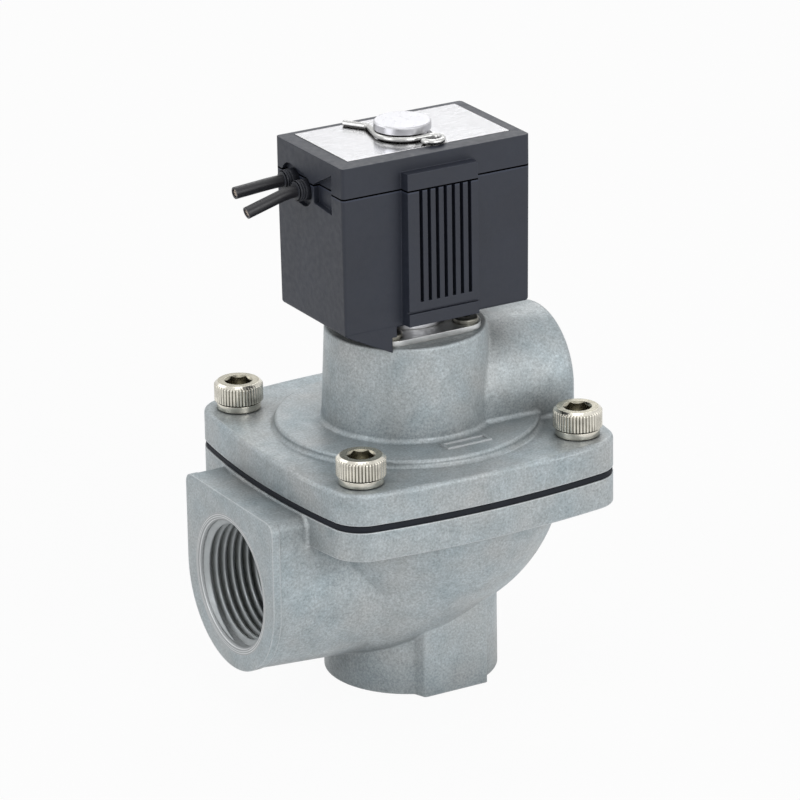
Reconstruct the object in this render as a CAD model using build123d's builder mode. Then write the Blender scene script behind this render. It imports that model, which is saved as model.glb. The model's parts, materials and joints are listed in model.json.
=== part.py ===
from build123d import *
import math
import os

os.makedirs("parts", exist_ok=True)

# Right-angle diaphragm valve with a solenoid pilot, for blowing dust collector bags clean.
# Millimetres. The origin is the centre of the outlet's face and +Z runs up through the coil.
# The inlet looks along -X, and the ribbed side of the coil that faces the viewer along -Y.

# Body casting
body_height = 45.1          # outlet face to the plane that the diaphragm lies on
flange_thickness = 6.1
bolt_inset = 6.6            # bowl's radius less the cover screws' X and Y
corner_radius = 7.2         # flange corners, round the screws
side_bulge = 1.9            # how far the middle of each side stands out
bowl_centre_drop = 1.6      # the bowl's centre below the diaphragm plane
bowl_wall = 4.4
chamber_step = 2.9          # bowl's inside beyond the diaphragm's window
port_thread_radius = 13.22  # root of the G3/4 thread
passage_step = 1.32         # passage inside the thread's root
riser_wall = 3.1            # outlet tube inside the bowl
boss_wall = 4.78            # outlet boss round its thread
flat_half_width = 7.4       # wrench flats on the boss
flat_stand_out = 0.6
flat_side_step = 3.1
flat_side_lean = 1.2
inlet_wall = 4.88           # inlet block round its thread
inlet_reach = 10.0          # inlet's face beyond the bowl
inlet_top_drop = 0.25       # top of the inlet block below the diaphragm plane
inlet_top_rise = 0.55       # more metal over the bore than beside it
collar_length = 1.8         # rim round the inlet's face
collar_step = 0.3
tunnel_growth = 1.3         # inlet tunnel's half width, from its rim to where it opens into the bowl
tunnel_drop = 1.2           # its bottom there, below the bottom of the rim
throat_inset = 0.5          # where it opens, inside the outlet boss's edge
throat_run = 12.0           # length over which it widens
throat_width = 28.0         # half width at the end of that run
throat_rise = 0.7
throat_end = 14.0           # X where it has run into the bowl
throat_end_width = 27.6
throat_end_rise = 8.3
inlet_thread_length = 18.0
outlet_thread_length = 13.0
port_chamfer = 0.6
seat_drop = 5.0             # seat below the diaphragm plane
casting_edge = 0.8
body_corner_fillet = 0.8    # hollow corners between the body's bowl, flange, inlet and boss
inlet_top_corner = 2.2
flat_edge = 0.8

# Cover casting
cover_thickness = 6.6
disc_screw_gap = 3.53       # raised disc to the heads of the screws
disc_height = 1.6
disc_edge = 0.6
disc_foot = 0.9             # hollow corner where it meets the plate
cover_corner_fillet = 1.0   # hollow corners round the tower and the exhaust boss
tower_draft = 1.0           # wider at its base
tower_rim = 1.31            # round the retainer's screws
tower_height = 21.4         # above the plane that the screws sit on
tower_edge = 0.6
spring_side_gap = 1.1       # main spring to the wall of its chamber
spring_chamber_roof = 2.2   # metal between the spring chamber and the exhaust passage
exhaust_arch_drop = 1.6     # boss's round top below the tower's
exhaust_port_rise = 8.0     # axis of its port above the screw plane
exhaust_boss_radius = 14.2
exhaust_face_inset = 0.4    # inside the flange's corners
exhaust_thread_radius = 4.86   # root of the G1/8 thread
exhaust_thread_length = 10.0
exhaust_edge = 1.6
exhaust_passage_radius = 2.0
mark_length = 10.4          # bare cast frame on the cover's disc
mark_width = 3.2
mark_height = 0.3
mark_line = 0.6
mark_inset = 6.2            # its centre inside the disc's rim
mark_x = 1.5

# Screws
screw_radius = 2.95
screw_end_gap = 0.2         # screw's end above the flange's bottom
screw_head_radius = 5.05
screw_head_height = 6.0
screw_band_height = 1.5
screw_band_step = 0.25
screw_rim = 0.7
screw_key = 5.0
screw_key_depth = 3.2
hole_clearance = 0.35
thread_clearance = 0.05

# Diaphragm and main poppet
rubber_thickness = 1.5
rubber_inset = 0.15
soft_gap = 0.1              # air left between rubber and metal that only touch
main_travel = 5.0
lift_clearance = 0.4        # left above the upper plate when it is lifted
seat_cover = 3.3            # flat rubber beyond the outlet tube
web_run = 5.9               # width of the sloping web
web_clearance = 0.4
rim_lap = 3.0               # flat rim drawn together with the web
plate_rim_gap = 0.3
upper_plate_thickness = 1.4
lower_plate_radius = 10.4
lower_plate_thickness = 1.5
centre_screw_radius = 2.9
centre_head_height = 3.2
centre_head_across = 9.0
nut_height = 3.6
nut_across = 9.6
nut_stand_out = 1.0
bleed_radius = 0.7
bleed_offset = 0.9          # bleed hole beyond the outlet tube
main_spring_radius = 8.2
main_spring_wire = 0.7
main_spring_turns = 4

# Pilot
tube_radius = 5.84
tube_wall = 0.89
tube_flange_step = 1.6      # flange beyond the collar
tube_flange_thickness = 2.0
tube_collar_step = 2.56     # collar beyond the tube
slip_gap = 0.1              # parts that drop into a recess
slide_clearance = 0.07      # plunger in its tube
plunger_travel = 1.8
pilot_chamber_inset = 3.0   # inside the tube's flange
pilot_chamber_depth = 4.4
nozzle_lip_radius = 2.6
nozzle_lip_height = 1.0
nozzle_bore = 1.4
seal_inset = 1.75           # inside the tube's bore
seal_thickness = 2.6
seal_stand_out = 0.2
feed_radius = 1.1
feed_offset = 5.2
ring_groove_inset = 0.8     # inside the tube's flange
ring_groove_depth = 1.5
spring_bore = 2.6
spring_bore_depth = 8.2
plunger_spring_radius = 1.95
plunger_spring_wire = 0.25
plunger_spring_turns = 7
shading_inset = 0.65        # inside the tube's bore
shading_width = 0.8
shading_height = 1.2
core_length = 14.2          # inside the tube
neck_step = 0.84            # neck inside the tube's radius
neck_drop = 0.9             # neck's bottom below the coil's plate
neck_stand_out = 1.5        # neck's top above the coil's plate
head_height = 1.6
head_edge = 0.27
weld_collar_height = 1.2
retainer_margin = 3.6       # plate beyond its screws
retainer_corner = 5.0
retainer_thickness = 1.2
retainer_screw_gap = 1.14   # screw to the tube's flange
retainer_screw_radius = 1.45
retainer_screw_length = 7.0
retainer_head_radius = 2.7
retainer_head_height = 1.1
retainer_key = 2.0
retainer_key_depth = 0.8

# Coil
coil_gap = 4.4              # tower top to coil
coil_half_length = 21.66
coil_height = 35.4
cap_height = 6.4            # coil's top to the seam between the shell and its cap
coil_taper = 0.6            # degrees
coil_corner = 0.8
coil_bottom_edge = 0.7
coil_wall = 1.8
coil_slip = 0.16            # coil's bore round the tube
frame_left = 3.56           # cap's frame round the steel plate
frame_right = 2.36
frame_front = 4.07
frame_back = 1.57
plate_thickness = 1.9
plate_stand_out = 0.1
yoke_thickness = 1.8
yoke_half_width = 8.0
yoke_end_gap = 2.36
bobbin_wall = 0.9
bobbin_side_gap = 0.47      # flanges to the coil's wall
bobbin_flange = 1.2
winding_depth = 3.7
bobbin_rim = 0.6            # flanges beyond the winding
winding_gap = 0.05
panel_half_width = 8.4
panel_stand_out = 2.3
panel_side_lean = 0.3
panel_top_drop = 2.8        # below the coil's top
panel_bottom_rise = 0.6
groove_count = 7
groove_pitch = 1.87
groove_centre_x = 0.48
groove_width = 0.8
groove_depth = 1.3
groove_bottom_rise = 5.5
groove_line_rise = 3.2
groove_line_height = 0.5
groove_line_depth = 0.7
foot_length = 12.06
foot_drop = 5.6             # tip of the foot below the coil's bottom
foot_depth = 3.0
foot_clearance = 0.2        # over the retainer's screws
foot_side_gap = 0.3         # round the tower
pocket_low_y = -9.0         # angular pocket in the lead side of the coil
pocket_high_y = -1.8
pocket_bottom_drop = 4.3    # below the seam
pocket_corner_drop = 3.6
pocket_corner_rise = 0.4
pocket_rise = 4.0           # above the seam
pocket_depth = 1.3

# Leads and retaining clip
lead_radius = 1.25
lead_places = [7.9, 2.4]    # Y of each lead
lead_drops = [0.7, 2.6]     # how far each lead's end hangs below its grommet
lead_reach = 13.0
lead_straight = 3.2
lead_start = 2.6            # inside the coil's wall
leads_below_seam = [1.3, 2.0]
lead_bend_share = 0.45      # of the shorter straight beside the bend
grommet_radius = 2.2
grommet_stand_out = 1.9
lead_recess_margin = 1.2     # recess in the coil's end, round both grommets
lead_recess_depth = 1.1
grommet_inside = 0.8
lead_clearance = 0.05
clip_wire = 0.6
clip_leg_end = (-7.2, 11.2)
clip_leg_bend = (-4.2, 6.6)
clip_bend_radius = 1.8
clip_front_run = 2.4
clip_eye_radius = 2.1
clip_eye_turn = 270

# Radii and distances worked out from the sizes above
passage_radius = port_thread_radius - passage_step
riser_radius = passage_radius + riser_wall
boss_radius = port_thread_radius + boss_wall
flat_distance = boss_radius + flat_stand_out
inlet_half_width = port_thread_radius + inlet_wall
web_bottom_radius = riser_radius + seat_cover
web_top_radius = web_bottom_radius + web_run
diaphragm_window = web_top_radius + web_clearance
bowl_inner = diaphragm_window + chamber_step
bowl_radius = bowl_inner + bowl_wall
corner_bolt_offset = bowl_radius - bolt_inset
inlet_face_x = bowl_radius + inlet_reach
exhaust_face_x = corner_bolt_offset + corner_radius - exhaust_face_inset
upper_plate_radius = web_bottom_radius - rubber_thickness / 2 - plate_rim_gap
bleed_distance = riser_radius + bleed_offset
disc_radius = corner_bolt_offset * math.sqrt(2) - screw_head_radius - disc_screw_gap
spring_chamber_radius = main_spring_radius + main_spring_wire + spring_side_gap
screw_band_radius = screw_head_radius - screw_band_step
screw_length = cover_thickness + rubber_thickness + flange_thickness - screw_end_gap
tube_bore = tube_radius - tube_wall
tube_collar_radius = tube_radius + tube_collar_step
tube_flange_radius = tube_collar_radius + tube_flange_step
pilot_chamber_radius = tube_flange_radius - pilot_chamber_inset
ring_groove_outer = tube_flange_radius - ring_groove_inset
seal_radius = tube_bore - seal_inset
shading_outer = tube_bore - shading_inset
shading_inner = shading_outer - shading_width
neck_radius = tube_radius - neck_step
retainer_screw_offset = (tube_flange_radius + retainer_screw_radius + retainer_screw_gap) / math.sqrt(2)
retainer_half = retainer_screw_offset + retainer_margin
tower_top_radius = retainer_screw_offset * math.sqrt(2) + retainer_head_radius + tower_rim
tower_base_radius = tower_top_radius + tower_draft
coil_bore = tube_radius + coil_slip
winding_radius = coil_bore + bobbin_wall + winding_depth
bobbin_flange_radius = winding_radius + bobbin_rim
coil_half_width = bobbin_flange_radius + bobbin_side_gap + coil_wall
plate_left = coil_half_length - frame_left
plate_right = coil_half_length - frame_right
plate_front = coil_half_width - frame_front
plate_back = coil_half_width - frame_back
yoke_half_span = coil_half_length - coil_wall - yoke_end_gap - yoke_thickness / 2
foot_inner_x = foot_length - coil_half_length
seam_height = coil_height - cap_height

# Levels worked out from the sizes above
inlet_top = body_height - inlet_top_drop
inlet_axis_height = inlet_top - inlet_top_rise - inlet_half_width
screw_plane = body_height + rubber_thickness + cover_thickness
cover_bottom = body_height + rubber_thickness
flange_bottom = body_height - flange_thickness
bowl_centre = body_height - bowl_centre_drop
seat_height = body_height - seat_drop
disc_top = screw_plane + disc_height
tower_top = screw_plane + tower_height
exhaust_arch_height = tower_top - exhaust_arch_drop - exhaust_boss_radius
exhaust_height = screw_plane + exhaust_port_rise
spring_ceiling = exhaust_height - exhaust_passage_radius - spring_chamber_roof
flange_recess = tower_top - tube_flange_thickness
pilot_floor = flange_recess - pilot_chamber_depth
nozzle_top = pilot_floor + nozzle_lip_height
rubber_bottom = seat_height + soft_gap
rubber_top = rubber_bottom + rubber_thickness
upper_plate_bottom = rubber_top + soft_gap
upper_plate_top = upper_plate_bottom + upper_plate_thickness
recess_ceiling = upper_plate_top + main_travel + lift_clearance
lower_plate_top = seat_height
lower_plate_bottom = lower_plate_top - lower_plate_thickness
retainer_top = tower_top + retainer_thickness
coil_bottom = tower_top + coil_gap
coil_top = coil_bottom + coil_height
seam = coil_bottom + seam_height
plate_top = coil_top + plate_stand_out
plate_bottom = plate_top - plate_thickness
neck_bottom = plate_top - neck_drop
neck_top = plate_top + neck_stand_out
tube_top = neck_bottom - weld_collar_height
core_bottom = tube_top - core_length
seal_bottom = nozzle_top + soft_gap
plunger_bottom = seal_bottom + seal_stand_out
plunger_top = core_bottom - plunger_travel
spring_bore_floor = plunger_top - spring_bore_depth
lead_heights = [seam - drop for drop in leads_below_seam]
lead_points = list(zip(lead_places, lead_heights))
hole_places = [(sx * corner_bolt_offset, sy * corner_bolt_offset) for sx in (-1, 1) for sy in (-1, 1)]


def flange_outline(inset):
    """Closed outline of the square flanges: round corners that run smoothly into convex sides."""
    corner = corner_radius - inset
    stand_out = corner + side_bulge
    middle = corner_bolt_offset + stand_out
    side_radius = (corner_bolt_offset**2 + stand_out**2 - corner**2) / (2 * side_bulge)
    turn = math.atan2(corner_bolt_offset, side_radius - stand_out)
    far = corner_bolt_offset + corner * math.cos(turn)
    near = corner_bolt_offset + corner * math.sin(turn)
    across = corner_bolt_offset + corner * math.sqrt(0.5)
    ThreePointArc((-near, -far), (0, -middle), (near, -far))
    ThreePointArc((near, -far), (across, -across), (far, -near))
    ThreePointArc((far, -near), (middle, 0), (far, near))
    ThreePointArc((far, near), (across, across), (near, far))
    ThreePointArc((near, far), (0, middle), (-near, far))
    ThreePointArc((-near, far), (-across, across), (-far, near))
    ThreePointArc((-far, near), (-middle, 0), (-far, -near))
    ThreePointArc((-far, -near), (-across, -across), (-near, -far))


def hollow_corners(solid):
    """Edges where two surfaces of a casting meet in a hollow corner."""
    found = []
    for edge in solid.edges():
        sides = [face for face in solid.faces() if edge in face.edges()]
        if len(sides) != 2:
            continue
        middle = edge @ 0.5
        first, second = (face.normal_at(middle) for face in sides)
        if first.cross(second).length < soft_gap:
            continue
        if solid.is_inside(middle + (first - second).normalized() * thread_clearance):
            found.append(edge)
    return found


def throat_section(x, half_width, bottom):
    """Round section of the inlet tunnel at one X."""
    with BuildSketch(Plane.YZ.offset(x)) as section:
        with Locations((0, bottom + half_width)):
            Circle(half_width)
    return section.sketch


def save(piece, name):
    piece.part.label = name
    export_step(piece.part, "parts/" + name + ".step")


# Body: flange, bowl, inlet block and outlet boss in one casting
with BuildPart() as valve_body:
    with BuildSketch(Plane.XY.offset(flange_bottom)):
        with BuildLine():
            flange_outline(0)
        make_face()
    extrude(amount=flange_thickness)
    with BuildSketch(Plane.XZ):
        with BuildLine():
            Line((0, bowl_centre), (bowl_radius, bowl_centre))
            ThreePointArc(
                (bowl_radius, bowl_centre),
                (bowl_radius * math.sqrt(0.5), bowl_centre - bowl_radius * math.sqrt(0.5)),
                (0, bowl_centre - bowl_radius),
            )
            Line((0, bowl_centre - bowl_radius), (0, bowl_centre))
        make_face()
    revolve(axis=Axis.Z)
    # Inlet tunnel: flat on top and round below, with a rim round its face
    for length, half_width in (
        (inlet_face_x, inlet_half_width - collar_step),
        (collar_length, inlet_half_width),
    ):
        with BuildSketch(Plane.YZ.offset(-inlet_face_x)) as tunnel_section:
            with Locations((0, inlet_axis_height)):
                Circle(half_width)
            with Locations((0, (inlet_axis_height + inlet_top) / 2)):
                Rectangle(2 * half_width, inlet_top - inlet_axis_height)
            fillet(tunnel_section.vertices().group_by(Axis.Z)[-1], inlet_top_corner)
        extrude(amount=length)
    # Throat, where the tunnel widens and runs into the bowl
    rim_bottom = inlet_axis_height - inlet_half_width
    throat_bottom = rim_bottom - tunnel_drop
    mouth = throat_section(-inlet_face_x, inlet_half_width - collar_step, rim_bottom + collar_step)
    throat = [
        throat_section(throat_inset - boss_radius, inlet_half_width + tunnel_growth, throat_bottom),
        throat_section(throat_inset - boss_radius + throat_run, throat_width, throat_bottom + throat_rise),
        throat_section(throat_end, throat_end_width, throat_bottom + throat_end_rise),
    ]
    with BuildPart(mode=Mode.PRIVATE) as throat_form:
        loft(sections=[mouth, throat[0]], ruled=True)
        loft(sections=throat)
        split(bisect_by=Plane.XY.offset(inlet_top - inlet_top_corner), keep=Keep.BOTTOM)
    add(throat_form.part)
    # Outlet boss with its wrench flats
    with BuildSketch() as boss_section:
        Circle(boss_radius)
        for side in (-1, 1):
            with BuildLine():
                Polyline(
                    (-flat_half_width - flat_side_lean, 0),
                    (-flat_half_width - flat_side_lean, side * (flat_distance - flat_side_step)),
                    (-flat_half_width, side * flat_distance),
                    (flat_half_width, side * flat_distance),
                    (flat_half_width + flat_side_lean, side * (flat_distance - flat_side_step)),
                    (flat_half_width + flat_side_lean, 0),
                    close=True,
                )
            make_face()
        fillet([v for v in boss_section.vertices() if abs(v.Y) > flat_distance - soft_gap], flat_edge)
    extrude(amount=inlet_axis_height)
    behind_collar = [
        e for e in hollow_corners(valve_body.part.solid())
        if e.center().X > collar_length + soft_gap - inlet_face_x and e.center().Z < inlet_top - soft_gap
    ]
    fillet(behind_collar, body_corner_fillet)
    # Round chamber in the bowl, with the diaphragm's window above it
    with BuildSketch(Plane.XZ):
        rim = math.sqrt(bowl_inner**2 - diaphragm_window**2)
        with BuildLine():
            Line((0, body_height), (diaphragm_window, body_height))
            Line((diaphragm_window, body_height), (diaphragm_window, bowl_centre - rim))
            ThreePointArc(
                (diaphragm_window, bowl_centre - rim),
                (bowl_inner * math.sqrt(0.5), bowl_centre - bowl_inner * math.sqrt(0.5)),
                (0, bowl_centre - bowl_inner),
            )
            Line((0, bowl_centre - bowl_inner), (0, body_height))
        make_face()
    revolve(axis=Axis.Z, mode=Mode.SUBTRACT)
    with BuildSketch(Plane.YZ.offset(-inlet_face_x)):
        with Locations((0, inlet_axis_height)):
            Circle(passage_radius)
    extrude(amount=inlet_face_x - riser_radius / 2, mode=Mode.SUBTRACT)
    with BuildSketch(Plane.YZ.offset(-inlet_face_x)):
        with Locations((0, inlet_axis_height)):
            Circle(port_thread_radius)
    extrude(amount=inlet_thread_length, mode=Mode.SUBTRACT)
    # Outlet tube up to the seat
    with BuildSketch():
        Circle(riser_radius)
    extrude(amount=seat_height)
    with BuildSketch():
        Circle(passage_radius)
    extrude(amount=seat_height, mode=Mode.SUBTRACT)
    with BuildSketch():
        Circle(port_thread_radius)
    extrude(amount=outlet_thread_length, mode=Mode.SUBTRACT)
    # Tapped holes for the cover screws
    with BuildSketch(Plane.XY.offset(flange_bottom)):
        with Locations(*hole_places):
            Circle(screw_radius + thread_clearance)
    extrude(amount=flange_thickness, mode=Mode.SUBTRACT)
    mouths = valve_body.edges().filter_by(GeomType.CIRCLE).filter_by(
        lambda e: abs(e.radius - port_thread_radius) < 1e-6
        and (abs(e.center().Z) < 1e-6 or abs(e.center().X + inlet_face_x) < 1e-6)
    )
    chamfer(mouths, port_chamfer)
    seat_edges = valve_body.edges().filter_by(GeomType.CIRCLE).filter_by(
        lambda e: abs(e.center().Z - seat_height) < 1e-6 and e.radius < riser_radius + 1
    )
    fillet(seat_edges, casting_edge)
save(valve_body, "valve_body")

# Cover: plate, raised disc, pilot tower and exhaust boss in one casting
with BuildPart() as cover:
    with BuildSketch(Plane.XY.offset(cover_bottom)):
        with BuildLine():
            flange_outline(0)
        make_face()
    extrude(amount=cover_thickness)
    fillet(cover.faces().sort_by(Axis.Z)[-1].edges(), casting_edge)
    with BuildSketch(Plane.XY.offset(screw_plane)):
        Circle(disc_radius)
    extrude(amount=disc_height)
    fillet(cover.faces().sort_by(Axis.Z)[-1].edges(), disc_edge)
    disc_line = cover.edges().filter_by(GeomType.CIRCLE).filter_by(
        lambda e: abs(e.radius - disc_radius) < 1e-6 and abs(e.center().Z - screw_plane) < 1e-6
    )
    fillet(disc_line, disc_foot)
    with BuildSketch(Plane.XZ):
        with BuildLine():
            Polyline(
                (0, screw_plane),
                (tower_base_radius, screw_plane),
                (tower_top_radius, tower_top),
                (0, tower_top),
                close=True,
            )
        make_face()
    revolve(axis=Axis.Z)
    fillet(cover.faces().sort_by(Axis.Z)[-1].edges(), tower_edge)
    with BuildSketch(Plane.YZ):
        with Locations((0, exhaust_arch_height)):
            Circle(exhaust_boss_radius)
        with Locations((0, (exhaust_arch_height + screw_plane) / 2)):
            Rectangle(2 * exhaust_boss_radius, exhaust_arch_height - screw_plane)
        with Locations((0, screw_plane - exhaust_boss_radius)):
            Rectangle(4 * exhaust_boss_radius, 2 * exhaust_boss_radius, mode=Mode.SUBTRACT)
    extrude(amount=exhaust_face_x)
    exhaust_face = cover.faces().filter_by(lambda f: abs(f.center().X - exhaust_face_x) < 1e-6)[0]
    fillet(exhaust_face.edges().filter_by(lambda e: e.center().Z > screw_plane + soft_gap), exhaust_edge)
    above_plate = [e for e in hollow_corners(cover.part.solid()) if e.center().Z > disc_top - soft_gap]
    fillet(above_plate, cover_corner_fillet)
    # Diaphragm recess, spring chamber and pilot chamber
    with BuildSketch(Plane.XY.offset(cover_bottom)):
        Circle(diaphragm_window)
    extrude(amount=recess_ceiling - cover_bottom, mode=Mode.SUBTRACT)
    with BuildSketch(Plane.XY.offset(cover_bottom)):
        Circle(spring_chamber_radius)
    extrude(amount=spring_ceiling - cover_bottom, mode=Mode.SUBTRACT)
    with BuildSketch(Plane.XY.offset(flange_recess)):
        Circle(tube_flange_radius + slip_gap)
    extrude(amount=tube_flange_thickness, mode=Mode.SUBTRACT)
    with BuildSketch(Plane.XY.offset(pilot_floor)):
        Circle(pilot_chamber_radius)
        Circle(nozzle_lip_radius, mode=Mode.SUBTRACT)
    extrude(amount=pilot_chamber_depth, mode=Mode.SUBTRACT)
    with BuildSketch(Plane.XY.offset(nozzle_top)):
        Circle(pilot_chamber_radius)
    extrude(amount=flange_recess - nozzle_top, mode=Mode.SUBTRACT)
    with BuildSketch(Plane.XY.offset(flange_recess - ring_groove_depth)):
        Circle(ring_groove_outer)
    extrude(amount=ring_groove_depth, mode=Mode.SUBTRACT)
    # Pilot passages: up from the spring chamber, and from the nozzle out to the exhaust
    with BuildSketch(Plane.XY.offset(spring_ceiling)):
        with Locations((-feed_offset, 0)):
            Circle(feed_radius)
    extrude(amount=pilot_floor - spring_ceiling, mode=Mode.SUBTRACT)
    with BuildSketch(Plane.XY.offset(exhaust_height)):
        Circle(nozzle_bore)
    extrude(amount=nozzle_top - exhaust_height, mode=Mode.SUBTRACT)
    with BuildSketch(Plane.YZ.offset(-nozzle_bore)):
        with Locations((0, exhaust_height)):
            Circle(exhaust_passage_radius)
    extrude(amount=exhaust_face_x - exhaust_thread_length + nozzle_bore, mode=Mode.SUBTRACT)
    with BuildSketch(Plane.YZ.offset(exhaust_face_x)):
        with Locations((0, exhaust_height)):
            Circle(exhaust_thread_radius)
    extrude(amount=-exhaust_thread_length, mode=Mode.SUBTRACT)
    exhaust_mouth = cover.edges().filter_by(GeomType.CIRCLE).filter_by(
        lambda e: abs(e.radius - exhaust_thread_radius) < 1e-6 and abs(e.center().X - exhaust_face_x) < 1e-6
    )
    chamfer(exhaust_mouth, port_chamfer)
    # Holes for the cover screws and for the small retainer screws
    with BuildSketch(Plane.XY.offset(cover_bottom)):
        with Locations(*hole_places):
            Circle(screw_radius + hole_clearance)
    extrude(amount=cover_thickness, mode=Mode.SUBTRACT)
    with BuildSketch(Plane.XY.offset(tower_top)):
        with GridLocations(2 * retainer_screw_offset, 2 * retainer_screw_offset, 2, 2):
            Circle(retainer_screw_radius + thread_clearance)
    extrude(amount=-retainer_screw_length, mode=Mode.SUBTRACT)
    # Bare cast frame on the disc
    with BuildSketch(Plane.XY.offset(disc_top)):
        with Locations((mark_x, mark_inset - disc_radius)):
            Rectangle(mark_length, mark_width)
            Rectangle(mark_length - 2 * mark_line, mark_width - 2 * mark_line, mode=Mode.SUBTRACT)
    extrude(amount=mark_height)
save(cover, "cover")

# Diaphragm: flat rim clamped under the cover, sloping web and flat middle
with BuildPart() as main_diaphragm:
    with BuildSketch(Plane.XZ):
        with BuildLine():
            Polyline(
                (centre_screw_radius + slip_gap, rubber_bottom),
                (web_bottom_radius, rubber_bottom),
                (web_top_radius, body_height),
                (diaphragm_window + rim_lap, body_height),
                (diaphragm_window + rim_lap, cover_bottom),
                (web_top_radius - rubber_thickness / 2, cover_bottom),
                (web_bottom_radius - rubber_thickness / 2, rubber_top),
                (centre_screw_radius + slip_gap, rubber_top),
                close=True,
            )
        make_face()
    revolve(axis=Axis.Z)
    with BuildSketch(Plane.XY.offset(body_height)):
        with BuildLine():
            flange_outline(rubber_inset)
        make_face()
        Circle(diaphragm_window + rim_lap / 2, mode=Mode.SUBTRACT)
    extrude(amount=rubber_thickness)
    with BuildSketch(Plane.XY.offset(body_height)):
        with Locations(*hole_places):
            Circle(screw_radius + hole_clearance)
    extrude(amount=rubber_thickness, mode=Mode.SUBTRACT)
    with BuildSketch(Plane.XY.offset(rubber_bottom)):
        with Locations((bleed_distance, 0)):
            Circle(bleed_radius)
    extrude(amount=rubber_thickness, mode=Mode.SUBTRACT)
save(main_diaphragm, "main_diaphragm")

# Steel plates that clamp the diaphragm's middle
with BuildPart() as upper_plate:
    with BuildSketch(Plane.XY.offset(upper_plate_bottom)):
        Circle(upper_plate_radius)
        Circle(centre_screw_radius + slip_gap, mode=Mode.SUBTRACT)
        with Locations((bleed_distance, 0)):
            Circle(bleed_radius, mode=Mode.SUBTRACT)
    extrude(amount=upper_plate_thickness)
save(upper_plate, "upper_plate")

with BuildPart() as lower_plate:
    with BuildSketch(Plane.XY.offset(lower_plate_bottom)):
        Circle(lower_plate_radius)
        Circle(centre_screw_radius + slip_gap, mode=Mode.SUBTRACT)
    extrude(amount=lower_plate_thickness)
save(lower_plate, "lower_plate")

with BuildPart() as centre_screw:
    with BuildSketch(Plane.XY.offset(lower_plate_bottom)):
        RegularPolygon(centre_head_across / 2, 6, major_radius=False)
    extrude(amount=-centre_head_height)
    with BuildSketch(Plane.XY.offset(lower_plate_bottom)):
        Circle(centre_screw_radius)
    extrude(amount=upper_plate_top - lower_plate_bottom + nut_height + nut_stand_out)
save(centre_screw, "centre_screw")

with BuildPart() as centre_nut:
    with BuildSketch(Plane.XY.offset(upper_plate_top)):
        RegularPolygon(nut_across / 2, 6, major_radius=False)
        Circle(centre_screw_radius + thread_clearance, mode=Mode.SUBTRACT)
    extrude(amount=nut_height)
save(centre_nut, "centre_nut")


def coil_spring(radius, wire, turns, bottom, top):
    """Open compression spring that stands between two levels."""
    height = top - bottom - 2 * wire
    path = Helix(height / turns, height, radius, center=(0, 0, bottom + wire))
    start = Plane(origin=path @ 0, z_dir=path % 0)
    return path, start


with BuildPart() as main_spring:
    with BuildLine():
        main_helix, main_start = coil_spring(
            main_spring_radius, main_spring_wire, main_spring_turns, upper_plate_top, spring_ceiling
        )
    with BuildSketch(main_start):
        Circle(main_spring_wire)
    sweep(path=main_helix, is_frenet=True)
save(main_spring, "main_spring")

# Cover screws, one node each
for number, place in enumerate(hole_places):
    with BuildPart() as cover_screw:
        with BuildSketch(Plane.XZ.offset(-place[1])):
            with BuildLine():
                Polyline(
                    (place[0], screw_plane - screw_length),
                    (place[0] + screw_radius - screw_rim, screw_plane - screw_length),
                    (place[0] + screw_radius, screw_plane - screw_length + screw_rim),
                    (place[0] + screw_radius, screw_plane),
                    (place[0] + screw_band_radius, screw_plane),
                    (place[0] + screw_band_radius, screw_plane + screw_band_height),
                    (place[0] + screw_head_radius, screw_plane + screw_band_height),
                    (place[0] + screw_head_radius, screw_plane + screw_head_height - screw_rim),
                    (place[0] + screw_head_radius - screw_rim, screw_plane + screw_head_height),
                    (place[0], screw_plane + screw_head_height),
                    close=True,
                )
            make_face()
        revolve(axis=Axis((place[0], place[1], 0), (0, 0, 1)))
        with BuildSketch(Plane.XY.offset(screw_plane + screw_head_height)):
            with Locations(place):
                RegularPolygon(screw_key / 2, 6, major_radius=False)
        extrude(amount=-screw_key_depth, mode=Mode.SUBTRACT)
    save(cover_screw, "cover_screw_" + str(number + 1))

# Pilot: tube, its seal ring, the retainer plate and its screws
with BuildPart() as core_tube:
    with BuildSketch(Plane.XY.offset(flange_recess)):
        Circle(tube_flange_radius)
    extrude(amount=tube_flange_thickness)
    with BuildSketch(Plane.XY.offset(tower_top)):
        Circle(tube_collar_radius)
    extrude(amount=coil_gap)
    with BuildSketch(Plane.XY.offset(coil_bottom)):
        Circle(tube_radius)
    extrude(amount=tube_top - coil_bottom)
    with BuildSketch(Plane.XY.offset(flange_recess)):
        Circle(tube_bore)
    extrude(amount=tube_top - flange_recess, mode=Mode.SUBTRACT)
save(core_tube, "core_tube")

with BuildPart() as tube_seal_ring:
    groove_width_ring = ring_groove_outer - pilot_chamber_radius
    ring_minor = min(groove_width_ring, ring_groove_depth) / 2 - thread_clearance
    with BuildSketch(Plane.XZ):
        with Locations((pilot_chamber_radius + groove_width_ring / 2, flange_recess - ring_groove_depth / 2)):
            Circle(ring_minor)
    revolve(axis=Axis.Z)
save(tube_seal_ring, "tube_seal_ring")

with BuildPart() as retainer_plate:
    with BuildSketch(Plane.XY.offset(tower_top)):
        RectangleRounded(2 * retainer_half, 2 * retainer_half, retainer_corner)
        Circle(tube_collar_radius + slip_gap, mode=Mode.SUBTRACT)
        with GridLocations(2 * retainer_screw_offset, 2 * retainer_screw_offset, 2, 2):
            Circle(retainer_screw_radius + slip_gap, mode=Mode.SUBTRACT)
    extrude(amount=retainer_thickness)
save(retainer_plate, "retainer_plate")

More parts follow.
